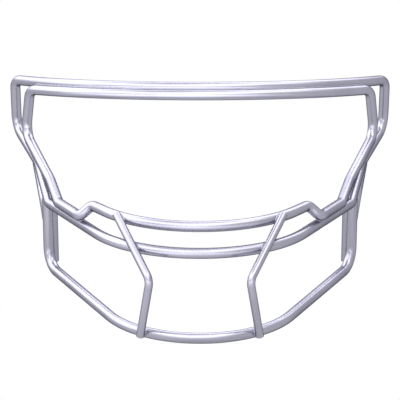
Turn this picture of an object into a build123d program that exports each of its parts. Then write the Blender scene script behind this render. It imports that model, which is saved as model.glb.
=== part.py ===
from build123d import *
from math import cos, radians, sin, tan
import os

os.makedirs("parts", exist_ok=True)

# Welded wire guard for the face opening of a football helmet.
# The origin is the middle of the upper brow wire, +X across, -Y forward and +Z up, in millimetres.
# All paths are laid out on the left half, where X is negative, and mirrored in the YZ plane.

# Wire stock and welds
wire_dia = 6.35
upright_dia = 4.76
weld_gap = 0.05
upright_set_down = 0.6
half_flat = 0.5

# Brow: two wires welded one above the other, bent round the forehead
brow_radius = 140.0
brow_tilt = 6.8
outer_brow_angle = 50.0
inner_brow_angle = 42.0
outer_temple_run = 13.3
inner_temple_run = 11.3
brow_pair_angle = 45.0

# Sides: bends of both loops and the corner of the jaw wire, each as shares of the half width,
# of the rear reach and of the drop from brow to chin
rear_reach = 78.0
chin_drop = 147.9
outer_side_shares = (1.0, 1.0, 0.147)
outer_kink_shares = (0.864, 0.564, 0.305)
outer_low_shares = (0.788, 0.064, 0.475)
inner_side_shares = (0.94, 0.744, 0.18)
inner_kink_shares = (0.785, 0.141, 0.381)
jaw_corner_shares = (0.798, 0.308, 0.732)

# Front bars: how far each stands before the brow, how far it hangs below it, and the half width
# at which the lines of its two sides would meet its straight middle
upper_bar_forward = 80.0
upper_bar_drop = 83.7
upper_bar_meet = 35.3
lower_bar_forward = 85.0
lower_bar_drop = 99.0
lower_bar_meet = 41.5
chin_forward = 80.0
chin_meet = 36.6

# Weld line where the inner loop lies along the outer one, and the notch after it
side_weld_angle = 121.6
side_weld_start = 19.0
side_weld_length = 29.6
notch_in = 7.2
notch_forward = 2.5
notch_rise = 6.6

# Bend radii, to the wire's middle
temple_radius = 8.0
side_radius = 10.0
kink_radius = 15.0
low_radius = 8.0
notch_radius = 5.5
jaw_radius = 13.0
brace_radius = 12.0
upright_radius = 6.0

# Legs of the jaw wire, with the stay and the brace behind each
leg_top_share = 0.18
cope_share = 0.5
stay_angle = 68.0
stay_top_share = 0.8
stay_foot_share = 0.02
brace_top_angle = -79.0
brace_bend_angle = -92.0
brace_top_share = 0.2
brace_bend_share = 0.63
brace_foot_angle = 118.0
brace_foot_share = 0.6

# Uprights over the mouth: half spacing at each bar, and the lengths past the crossings
upright_at_upper_bar = 45.2
upright_at_lower_bar = 37.2
upright_at_chin = 31.9
upright_top_over = 1.0
upright_knee_reach = 26.7
upright_foot_over = 0.2

side_by_side = wire_dia + weld_gap
upright_stand_off = (wire_dia + upright_dia) / 2 - upright_set_down


def beside(run, angle):
    """Unit vector square to a run: 0 degrees points level and inward, 90 up or to the rear."""
    inward = Vector(0, 0, 1).cross(run).normalized()
    upward = run.cross(inward).normalized()
    return inward * cos(radians(angle)) + upward * sin(radians(angle))


def along(start, end, share):
    """Point on the straight line between two others."""
    return start + (end - start) * share


def middle_radius(middle, meet, side):
    """Radius of the round front that starts at the flat middle of a bar and ends on its side."""
    turn = (meet - middle).get_angle(side - meet)
    return ((meet - middle).length - half_flat) / tan(radians(turn / 2))


def bar_crossing(middle, meet, side, out):
    """Point and direction of a front bar where it is the given distance from the middle."""
    radius = middle_radius(middle, meet, side)
    across = (meet - middle).normalized()
    rearward = (side - meet) - across * (side - meet).dot(across)
    rearward = rearward.normalized()
    sine = (out - half_flat) / radius
    cosine = (1 - sine * sine) ** 0.5
    point = middle + across * out + rearward * radius * (1 - cosine)
    return point, across * cosine + rearward * sine


# Brow wires, in a plane that rises to the rear
brow_plane = Plane.XY.rotated((brow_tilt, 0, 0))
pair_out = side_by_side * cos(radians(brow_pair_angle))
pair_down = side_by_side * sin(radians(brow_pair_angle))


def brow_points(radius, angle, run, out, down):
    """Middle, meeting point and temple corner of one brow wire."""
    reach = radius * tan(radians(angle / 2))
    meet = Vector(-half_flat - reach, -out, -down)
    corner = meet + Vector(-cos(radians(angle)), sin(radians(angle)), 0) * (reach + run)
    points = (Vector(0, -out, -down), meet, corner)
    return [brow_plane.from_local_coords(point) for point in points]


inner_brow_radius = brow_radius + pair_out
outer_brow = brow_points(brow_radius, outer_brow_angle, outer_temple_run, 0, 0)
inner_brow = brow_points(inner_brow_radius, inner_brow_angle, inner_temple_run, pair_out, pair_down)
half_width = -outer_brow[-1].X


def side_place(shares):
    """Point on the left side from its shares of half width, rear reach and drop."""
    return Vector(-half_width * shares[0], rear_reach * shares[1], -chin_drop * shares[2])


# Outer loop: brow, temple, diagonal, then the lower wire of the mouth bar
outer_side = side_place(outer_side_shares)
outer_kink = side_place(outer_kink_shares)
outer_low = side_place(outer_low_shares)
lower_bar_middle = Vector(0, -lower_bar_forward, -lower_bar_drop)
lower_bar_end = lower_bar_middle - Vector(lower_bar_meet, 0, 0)
lower_bar = (lower_bar_middle, lower_bar_end, outer_low)
outer_points = outer_brow + [outer_side, outer_kink, outer_low, lower_bar_end, lower_bar_middle]
outer_radii = [brow_radius, temple_radius, side_radius, kink_radius, low_radius]
outer_radii.append(middle_radius(*lower_bar))

# Inner loop: brow, temple, diagonal, weld line on the outer loop, notch, then the upper bar
inner_side = side_place(inner_side_shares)
inner_kink = side_place(inner_kink_shares)
side_run = (lower_bar_end - outer_low).normalized()
side_line = outer_low + beside(side_run, side_weld_angle) * side_by_side
inner_low = side_line + side_run * side_weld_start
notch_dip = inner_low + side_run * side_weld_length
notch_peak = notch_dip + Vector(notch_in, -notch_forward, notch_rise)
upper_bar_middle = Vector(0, -upper_bar_forward, -upper_bar_drop)
upper_bar_end = upper_bar_middle - Vector(upper_bar_meet, 0, 0)
upper_bar = (upper_bar_middle, upper_bar_end, notch_peak)
inner_points = inner_brow + [inner_side, inner_kink, inner_low, notch_dip, notch_peak]
inner_points += [upper_bar_end, upper_bar_middle]
inner_radii = [inner_brow_radius, temple_radius, side_radius, kink_radius, low_radius]
inner_radii += [notch_radius, notch_radius, middle_radius(*upper_bar)]

# Jaw wire: chin bar, corner, then a leg that runs up to the outer loop
jaw_corner = side_place(jaw_corner_shares)
chin_middle = Vector(0, -chin_forward, -chin_drop)
chin_end = chin_middle - Vector(chin_meet, 0, 0)
chin_bar = (chin_middle, chin_end, jaw_corner)
leg_aim = along(outer_low, outer_kink, leg_top_share)
leg_run = (leg_aim - jaw_corner).normalized()
leg_top = leg_aim - leg_run * (cope_share * wire_dia / 2)
jaw_points = [chin_middle, chin_end, jaw_corner, leg_top]
jaw_radii = [middle_radius(*chin_bar), jaw_radius]

# Stay: straight, along the inner rear of the leg
stay_offset = beside(leg_run, stay_angle) * side_by_side
stay_foot = along(jaw_corner, leg_top, stay_foot_share) + stay_offset
stay_top = along(jaw_corner, leg_top, stay_top_share) + stay_offset

# Brace: under the lower diagonal of the outer loop, then down behind the stay
diagonal_run = (outer_low - outer_kink).normalized()
brace_top = along(outer_kink, outer_low, -brace_top_share)
brace_top += beside(diagonal_run, brace_top_angle) * side_by_side
brace_bend = along(outer_kink, outer_low, brace_bend_share)
brace_bend += beside(diagonal_run, brace_bend_angle) * side_by_side
brace_foot = along(stay_foot, stay_top, brace_foot_share)
brace_foot += beside(leg_run, brace_foot_angle) * side_by_side

# Upright: on the outside of both mouth bars, knee forward, then back to the chin bar
upper_point, upper_way = bar_crossing(*upper_bar, upright_at_upper_bar)
lower_point, lower_way = bar_crossing(*lower_bar, upright_at_lower_bar)
chin_point, chin_way = bar_crossing(*chin_bar, upright_at_chin)
mouth_run = (lower_point - upper_point).normalized()
upper_seat = upper_point + upper_way.cross(mouth_run).normalized() * upright_stand_off
lower_seat = lower_point + lower_way.cross(mouth_run).normalized() * upright_stand_off
upright_run = (lower_seat - upper_seat).normalized()
upright_top = upper_seat - upright_run * upright_top_over
upright_knee = lower_seat + upright_run * upright_knee_reach
chin_run = (chin_point - upright_knee).normalized()
chin_seat = chin_point + chin_way.cross(chin_run).normalized() * upright_stand_off
upright_foot = chin_seat + (chin_seat - upright_knee).normalized() * upright_foot_over


def bent_wire(points, radii, diameter):
    """Round wire along straight runs joined by bends."""
    with BuildPart() as wire:
        with BuildLine() as path:
            if radii:
                FilletPolyline(*points, radius=radii)
            else:
                Line(*points)
        with BuildSketch(Plane(path.line @ 0, z_dir=path.line % 0)):
            Circle(diameter / 2)
        sweep()
    return wire.part


with BuildPart() as outer_loop_wire:
    add(bent_wire(outer_points, outer_radii, wire_dia))
    mirror(about=Plane.YZ)
outer_loop_wire.part.label = "outer_loop_wire"

with BuildPart() as inner_loop_wire:
    add(bent_wire(inner_points, inner_radii, wire_dia))
    mirror(about=Plane.YZ)
inner_loop_wire.part.label = "inner_loop_wire"

with BuildPart() as jaw_wire:
    add(bent_wire(jaw_points, jaw_radii, wire_dia))
    mirror(about=Plane.YZ)
    add(outer_loop_wire.part, mode=Mode.SUBTRACT)
jaw_wire.part.label = "jaw_wire"

with BuildPart() as left_stay_wire:
    add(bent_wire([stay_foot, stay_top], [], wire_dia))
left_stay_wire.part.label = "left_stay_wire"

with BuildPart() as left_brace_wire:
    add(bent_wire([brace_top, brace_bend, brace_foot], [brace_radius], wire_dia))
left_brace_wire.part.label = "left_brace_wire"

with BuildPart() as left_upright_wire:
    add(bent_wire([upright_top, upright_knee, upright_foot], [upright_radius], upright_dia))
    add([outer_loop_wire.part, inner_loop_wire.part, jaw_wire.part], mode=Mode.SUBTRACT)
left_upright_wire.part.label = "left_upright_wire"


def write_piece(part):
    """Write one piece under its own name."""
    export_step(part, f"parts/{part.label}.step")


for piece in (outer_loop_wire, inner_loop_wire, jaw_wire):
    write_piece(piece.part)

for left_piece in (left_stay_wire, left_brace_wire, left_upright_wire):
    write_piece(left_piece.part)
    with BuildPart() as right_piece:
        mirror(left_piece.part, about=Plane.YZ)
    right_piece.part.label = left_piece.part.label.replace("left", "right")
    write_piece(right_piece.part)
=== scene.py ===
from math import cos, pi, radians, sin

import bmesh
import bpy
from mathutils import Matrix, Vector
from mathutils.bvhtree import BVHTree


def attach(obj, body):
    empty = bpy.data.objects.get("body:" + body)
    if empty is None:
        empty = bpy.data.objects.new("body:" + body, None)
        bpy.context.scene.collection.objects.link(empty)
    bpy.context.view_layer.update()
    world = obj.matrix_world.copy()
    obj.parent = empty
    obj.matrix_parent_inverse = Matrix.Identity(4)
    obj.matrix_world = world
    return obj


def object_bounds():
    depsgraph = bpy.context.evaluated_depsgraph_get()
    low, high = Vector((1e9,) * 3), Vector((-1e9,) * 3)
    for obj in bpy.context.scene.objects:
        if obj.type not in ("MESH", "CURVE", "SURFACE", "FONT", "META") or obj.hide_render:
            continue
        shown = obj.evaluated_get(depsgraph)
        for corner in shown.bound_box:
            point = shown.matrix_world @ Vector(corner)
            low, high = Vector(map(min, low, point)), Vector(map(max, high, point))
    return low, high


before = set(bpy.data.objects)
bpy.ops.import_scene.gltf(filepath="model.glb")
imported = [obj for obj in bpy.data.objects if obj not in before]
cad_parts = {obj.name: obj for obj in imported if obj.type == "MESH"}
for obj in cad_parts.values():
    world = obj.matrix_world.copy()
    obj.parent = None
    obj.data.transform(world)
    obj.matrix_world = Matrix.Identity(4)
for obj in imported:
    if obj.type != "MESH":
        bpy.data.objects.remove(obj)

cad_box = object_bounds()
MM = 0.001

# The camera stands level, 1.5 m before the plane of the front bars, where its picture is this wide
CAMERA_DISTANCE = 1500 * MM
FRONT_PLANE = -75 * MM
CAMERA_HEIGHT = -68.4 * MM
PICTURE_WIDTH = 230.8 * MM
SENSOR = 36.0

# Silver powder coat: spacing of its drifts of tone, of its duller stretches and of its orange peel,
# height of the peel, and its smoothest and dullest roughness on the wires and over the welds
TONE_DRIFT = 38 * MM
DULL_STRETCH = 45 * MM
PEEL_WAVE = 3 * MM
PEEL_HEIGHT = 0.006 * MM
WIRE_ROUGHNESS = (0.28, 0.31)
WELD_ROUGHNESS = (0.6, 0.63)

# Weld beads: size of the faces their skin is melted from, rounds of melting, how far from a second
# wire a bead reaches, how deep counts as sunk in a wire, wall, share of the faces kept, and the
# least number of faces a stretch of bead can have
BEAD_GRAIN = 0.33 * MM
BEAD_MELT = 34
BEAD_REACH = 1.5 * MM
BEAD_DIP = 0.02 * MM
BEAD_WALL = 0.3 * MM
BEAD_SHARE = 0.22
BEAD_LEAST = 60

# Studio, in metres: width of the floor, how far from the origin it can hold a shadow, how much of
# the shadow shows, how brightly the white room lights the guard, and how far off the softboxes stand
FLOOR_WIDTH = 30.0
SHADOW_REACH = 0.4
SHADOW_SHARE = 0.18
ROOM_LIGHT = 0.05
LAMP_DISTANCE = 2.5

# Shares of a softbox's width out from its middle: as far as the first it glows in full, and it is
# dark from the second on
SOFTBOX_CORE = 0.3
SOFTBOX_RIM = 0.5

# Softboxes on stands: azimuth in degrees from the front to the right, elevation in degrees, width
# and height in metres, and glow, where the white room has 1
STANDING_SOFTBOXES = {
    "front_softbox": (-8, 35, 3.8, 3.5, 2.2),
    "left_softbox": (-76, 35, 3.6, 3.5, 2.3),
    "high_right_softbox": (42, 56, 2.2, 2.0, 2.4),
    "rear_left_softbox": (-138, 44, 3.2, 3.4, 3.1),
    "rear_right_softbox": (146, 60, 2.6, 2.4, 3.2),
}

# Softbox that lies just over the floor: how far left of the guard and before it, its lift over the
# floor, width and depth in metres, and glow
PANEL_LEFT = 0.3
PANEL_BEFORE = 0.9
PANEL_LIFT = 2 * MM
PANEL_SIZE = (2.1, 1.8)
PANEL_GLOW = 2.8


def linear(code):
    """Linear colour of an sRGB hex value."""
    shares = [int(code[i:i + 2], 16) / 255 for i in (1, 3, 5)]
    return [s / 12.92 if s <= 0.04045 else ((s + 0.055) / 1.055) ** 2.4 for s in shares] + [1.0]


def node(tree, kind, settings=None, links=None):
    """Adds a node with its settings and the links into its inputs, by name or by number."""
    made = tree.nodes.new(kind)
    for key, value in (settings or {}).items():
        if isinstance(key, int) or key in made.inputs:
            made.inputs[key].default_value = value
        else:
            setattr(made, key, value)
    for key, source in (links or {}).items():
        tree.links.new(source, made.inputs[key])
    return made


def noise_scale(spacing):
    """Scale of a noise whose features are this far apart."""
    return 1 / spacing


def silver_powder_coat(name, roughness):
    """Silver powder coat, sprayed with aluminium flake in it and baked to a gloss.

    It mirrors lamps as soft white streaks, stays grey between them and darkens towards its rims.
    The flake, about 0.05 mm wide, is too fine to show and only gives the coat its look of metal.
    """
    material = bpy.data.materials.new(name)
    material.use_nodes = True
    tree = material.node_tree
    tree.nodes.clear()
    place = node(tree, "ShaderNodeTexCoord").outputs["Object"]
    # The coat lies thicker here and thinner there, so its tone drifts over a few centimetres. Most of
    # the noise lies between the two stops
    drift = node(tree, "ShaderNodeTexNoise", {"Scale": noise_scale(TONE_DRIFT), "Detail": 2.0},
                 {"Vector": place})
    tone = node(tree, "ShaderNodeValToRGB", links={"Fac": drift.outputs["Fac"]})
    for stop, position, code in zip(tone.color_ramp.elements, (0.35, 0.65), ("#9A99A7", "#A4A3B1")):
        stop.position = position
        stop.color = linear(code)
    # Powder draws back from the sharp rims of the cut ends, where the steel shows through a thin coat.
    # Pointiness is near 0.5 along a smooth wire and grows towards a rim
    form = node(tree, "ShaderNodeNewGeometry")
    rim = node(tree, "ShaderNodeMapRange", {"From Min": 0.56, "From Max": 0.64, "To Max": 0.5},
               {"Value": form.outputs["Pointiness"]})
    thin = node(tree, "ShaderNodeMix", {"data_type": "RGBA", "B": linear("#86858C")},
                {"Factor": rim.outputs["Result"], "A": tone.outputs["Color"]})
    # Gloves and washing leave some palm-wide stretches a little duller than others
    handling = node(tree, "ShaderNodeTexNoise", {"Scale": noise_scale(DULL_STRETCH), "Detail": 1.0},
                    {"Vector": place})
    smoothest, dullest = roughness
    rough = node(tree, "ShaderNodeMapRange", {"To Min": smoothest, "To Max": dullest},
                 {"Value": handling.outputs["Fac"]})
    # Orange peel a few microns high, which makes close highlights waver
    peel = node(tree, "ShaderNodeTexNoise", {"Scale": noise_scale(PEEL_WAVE), "Detail": 1.0},
                {"Vector": place})
    relief = node(tree, "ShaderNodeBump", {"Distance": PEEL_HEIGHT}, {"Height": peel.outputs["Fac"]})
    shader = node(tree, "ShaderNodeBsdfPrincipled",
                  {"Metallic": 0.9, "Specular Tint": linear("#34343C")},
                  {"Base Color": thin.outputs["Result"], "Roughness": rough.outputs["Result"],
                   "Normal": relief.outputs["Normal"]})
    node(tree, "ShaderNodeOutputMaterial", links={"Surface": shader.outputs["BSDF"]})
    return material


def coat_wires(finish):
    """Gives the finish to every wire of the CAD."""
    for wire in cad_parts.values():
        for place in wire.material_slots:
            place.material = finish


def made_by(name, mesh, steps):
    """Mesh that a row of modifiers makes of another one, which it replaces."""
    body = bpy.data.objects.new(name, mesh)
    bpy.context.scene.collection.objects.link(body)
    for kind, settings in steps:
        step = body.modifiers.new(kind.lower(), kind)
        for key, value in settings.items():
            setattr(step, key, value)
    graph = bpy.context.evaluated_depsgraph_get()
    result = bpy.data.meshes.new_from_object(body.evaluated_get(graph))
    bpy.data.objects.remove(body)
    bpy.data.meshes.remove(mesh)
    result.name = name
    return result


def melted_skin(wires):
    """One skin round all the wires, which surface tension has drawn into the grooves between them."""
    together = bmesh.new()
    for wire in wires:
        placed = wire.data.copy()
        placed.transform(wire.matrix_world)
        together.from_mesh(placed)
        bpy.data.meshes.remove(placed)
    solid = bpy.data.meshes.new("solid")
    together.to_mesh(solid)
    together.free()
    melted = made_by("melted", solid, [("REMESH", {"mode": "VOXEL", "voxel_size": BEAD_GRAIN}),
                                       ("SMOOTH", {"factor": 0.5, "iterations": BEAD_MELT})])
    skin = bmesh.new()
    skin.from_mesh(melted)
    bpy.data.meshes.remove(melted)
    return skin


def wire_trees(wires):
    """Search tree of each wire's faces where it stands, by the wire's short name."""
    trees = {}
    for wire in wires:
        shape = bmesh.new()
        shape.from_mesh(wire.data)
        shape.transform(wire.matrix_world)
        trees[wire.name.replace("_wire", "")] = BVHTree.FromBMesh(shape)
        shape.free()
    return trees


def wires_beside(point, trees):
    """Names of up to two wires within reach of a point, or none where it is sunk in a wire."""
    near = []
    for name, tree in trees.items():
        spot, normal, _, distance = tree.find_nearest(point, BEAD_REACH)
        if spot is None:
            continue
        if (point - spot).dot(normal) < -BEAD_DIP:
            return ()
        near.append((distance, name))
    return tuple(sorted(name for _, name in sorted(near)[:2]))


def island_of(face, left):
    """Faces joined to one face among those that are left, which it takes away from them."""
    island = [face]
    left.discard(face)
    for member in island:
        for edge in member.edges:
            for other in edge.link_faces:
                if other in left:
                    left.discard(other)
                    island.append(other)
    return island


def weld_islands(skin, trees):
    """Faces of the melted skin that stand out between two wires, gathered by the pair they join."""
    pairs = {}
    for corner in skin.verts:
        pair = wires_beside(corner.co, trees)
        if len(pair) == 2:
            pairs[corner] = pair
    # Two more rows of faces all round take the edge of each bead below the skin of its wires
    edged = {corner for known in pairs for face in known.link_faces for corner in face.verts}
    left = {face for corner in edged for face in corner.link_faces}
    islands = {}
    for face in skin.faces:
        if face not in left:
            continue
        island = island_of(face, left)
        if len(island) < BEAD_LEAST:
            continue
        meets = [pairs[corner] for member in island for corner in member.verts if corner in pairs]
        islands.setdefault(max(sorted(set(meets)), key=meets.count), []).extend(island)
    return islands


def strip_of(faces):
    """Mesh of some faces of the skin by themselves."""
    corners = dict.fromkeys(corner for face in faces for corner in face.verts)
    numbers = {corner: i for i, corner in enumerate(corners)}
    strip = bpy.data.meshes.new("strip")
    strip.from_pydata([corner.co for corner in corners], [],
                      [[numbers[corner] for corner in face.verts] for face in faces])
    return strip


def lay_weld_beads(finish):
    """Thin weld beads in the grooves and crossings, one piece for each pair of wires that meet."""
    wires = list(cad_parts.values())
    skin = melted_skin(wires)
    for pair, faces in weld_islands(skin, wire_trees(wires)).items():
        name = "_".join(pair) + "_weld"
        mesh = made_by(name, strip_of(faces), [("DECIMATE", {"ratio": BEAD_SHARE}),
                                               ("SOLIDIFY", {"thickness": BEAD_WALL, "offset": -1.0})])
        mesh.shade_smooth()
        mesh.materials.append(finish)
        bead = bpy.data.objects.new(name, mesh)
        bpy.context.scene.collection.objects.link(bead)
        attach(bead, "root")
    skin.free()


def shown_rays(tree):
    """Output that is 1 for rays that show the background: seen, mirrored or let through."""
    path = node(tree, "ShaderNodeLightPath")
    seen = node(tree, "ShaderNodeMath", {"operation": "MAXIMUM"},
                {0: path.outputs["Is Camera Ray"], 1: path.outputs["Is Glossy Ray"]})
    shown = node(tree, "ShaderNodeMath", {"operation": "MAXIMUM"},
                 {0: seen.outputs["Value"], 1: path.outputs["Is Transmission Ray"]})
    return shown.outputs["Value"]


def white_studio_card(name):
    """Matt card that shows white with a soft shadow near the guard, and throws little light back up."""
    material = bpy.data.materials.new(name)
    material.use_nodes = True
    tree = material.node_tree
    tree.nodes.clear()
    under = node(tree, "ShaderNodeBsdfDiffuse", {"Color": linear("#5A5A5A")})
    card = node(tree, "ShaderNodeBsdfDiffuse", {"Color": linear("#F4F4F4")})
    white = node(tree, "ShaderNodeEmission", {"Color": linear("#FFFFFF"), "Strength": 1.0})
    place = node(tree, "ShaderNodeTexCoord").outputs["Object"]
    far = node(tree, "ShaderNodeVectorMath", {"operation": "LENGTH"}, {0: place})
    # The shadow keeps its full share as far as half its reach and is gone at the whole of it
    share = node(tree, "ShaderNodeMapRange", {"From Min": SHADOW_REACH / 2, "From Max": SHADOW_REACH,
                                              "To Min": 1 - SHADOW_SHARE, "To Max": 1.0},
                 {"Value": far.outputs["Value"]})
    seen = node(tree, "ShaderNodeMixShader",
                links={"Fac": share.outputs["Result"], 1: card.outputs["BSDF"],
                       2: white.outputs["Emission"]})
    mixed = node(tree, "ShaderNodeMixShader",
                 links={"Fac": shown_rays(tree), 1: under.outputs["BSDF"], 2: seen.outputs["Shader"]})
    node(tree, "ShaderNodeOutputMaterial", links={"Surface": mixed.outputs["Shader"]})
    return material


def lay_floor():
    """Plain floor under the lowest wire, wide enough for every view."""
    bpy.ops.mesh.primitive_plane_add(size=FLOOR_WIDTH, location=(0, 0, cad_box[0].z))
    floor = bpy.context.object
    floor.name = "floor"
    floor.data.materials.append(white_studio_card("white_studio_card"))


def light_world():
    """White room: seen and mirrored at full white, and dim as a light."""
    world = bpy.data.worlds.new("white_room")
    bpy.context.scene.world = world
    world.use_nodes = True
    tree = world.node_tree
    tree.nodes.clear()
    level = node(tree, "ShaderNodeMapRange", {"To Min": ROOM_LIGHT, "To Max": 1.0},
                 {"Value": shown_rays(tree)})
    back = node(tree, "ShaderNodeBackground", {"Color": linear("#FFFFFF")},
                {"Strength": level.outputs["Result"]})
    node(tree, "ShaderNodeOutputWorld", links={"Surface": back.outputs["Background"]})


def softbox(name, middle, facing, width, height, glow):
    """Soft lamp at a point, its face turned one way: it glows in its middle and fades out to its rim."""
    lamp = bpy.data.lights.new(name, "AREA")
    lamp.shape = "RECTANGLE"
    lamp.size = width
    lamp.size_y = height
    # A lamp's watts spread over its face and over every direction before it
    lamp.energy = glow * pi * width * height
    lamp.use_nodes = True
    tree = lamp.node_tree
    tree.nodes.clear()
    cloth = node(tree, "ShaderNodeNewGeometry")
    out = node(tree, "ShaderNodeVectorMath", {"operation": "DISTANCE", 1: (0.5, 0.5, 0.0)},
               {0: cloth.outputs["Parametric"]})
    fade = node(tree, "ShaderNodeMapRange", {"interpolation_type": "SMOOTHSTEP",
                                             "From Min": SOFTBOX_RIM, "From Max": SOFTBOX_CORE},
                {"Value": out.outputs["Value"]})
    light = node(tree, "ShaderNodeEmission", links={"Strength": fade.outputs["Result"]})
    node(tree, "ShaderNodeOutputLight", links={"Surface": light.outputs["Emission"]})
    made = bpy.data.objects.new(name, lamp)
    bpy.context.scene.collection.objects.link(made)
    made.location = middle
    made.rotation_euler = facing.to_track_quat("-Z", "Y").to_euler()
    made.visible_camera = False


def standing_softbox(name, azimuth, elevation, width, height, glow):
    """Softbox that faces the guard from a direction, degrees from the front to the right and up."""
    around, up = radians(azimuth), radians(elevation)
    away = Vector((sin(around) * cos(up), -cos(around) * cos(up), sin(up))) * LAMP_DISTANCE
    softbox(name, Vector((0, 0, CAMERA_HEIGHT)) + away, -away, width, height, glow)


def light_studio():
    """Softboxes all round, and one on the floor that lights the lower halves of the front bars."""
    for name, values in STANDING_SOFTBOXES.items():
        standing_softbox(name, *values)
    middle = Vector((-PANEL_LEFT, -PANEL_BEFORE, cad_box[0].z + PANEL_LIFT))
    softbox("floor_softbox", middle, Vector((0, 0, 1)), *PANEL_SIZE, PANEL_GLOW)


def set_camera():
    """Level camera in front of the guard, with the photograph's frame."""
    lens = bpy.data.cameras.new("camera")
    lens.sensor_width = SENSOR
    lens.lens = SENSOR * CAMERA_DISTANCE / PICTURE_WIDTH
    camera = bpy.data.objects.new("camera", lens)
    bpy.context.scene.collection.objects.link(camera)
    camera.location = (0, FRONT_PLANE - CAMERA_DISTANCE, CAMERA_HEIGHT)
    camera.rotation_euler = (radians(90), 0, 0)
    bpy.context.scene.camera = camera


bpy.context.scene.view_settings.view_transform = "Standard"
coat_wires(silver_powder_coat("silver_powder_coat", WIRE_ROUGHNESS))
# Over the welds the coat is drawn duller than on the wires: a gloss leaves grain in such narrow grooves
lay_weld_beads(silver_powder_coat("silver_powder_coat_over_weld", WELD_ROUGHNESS))
lay_floor()
light_world()
light_studio()
set_camera()
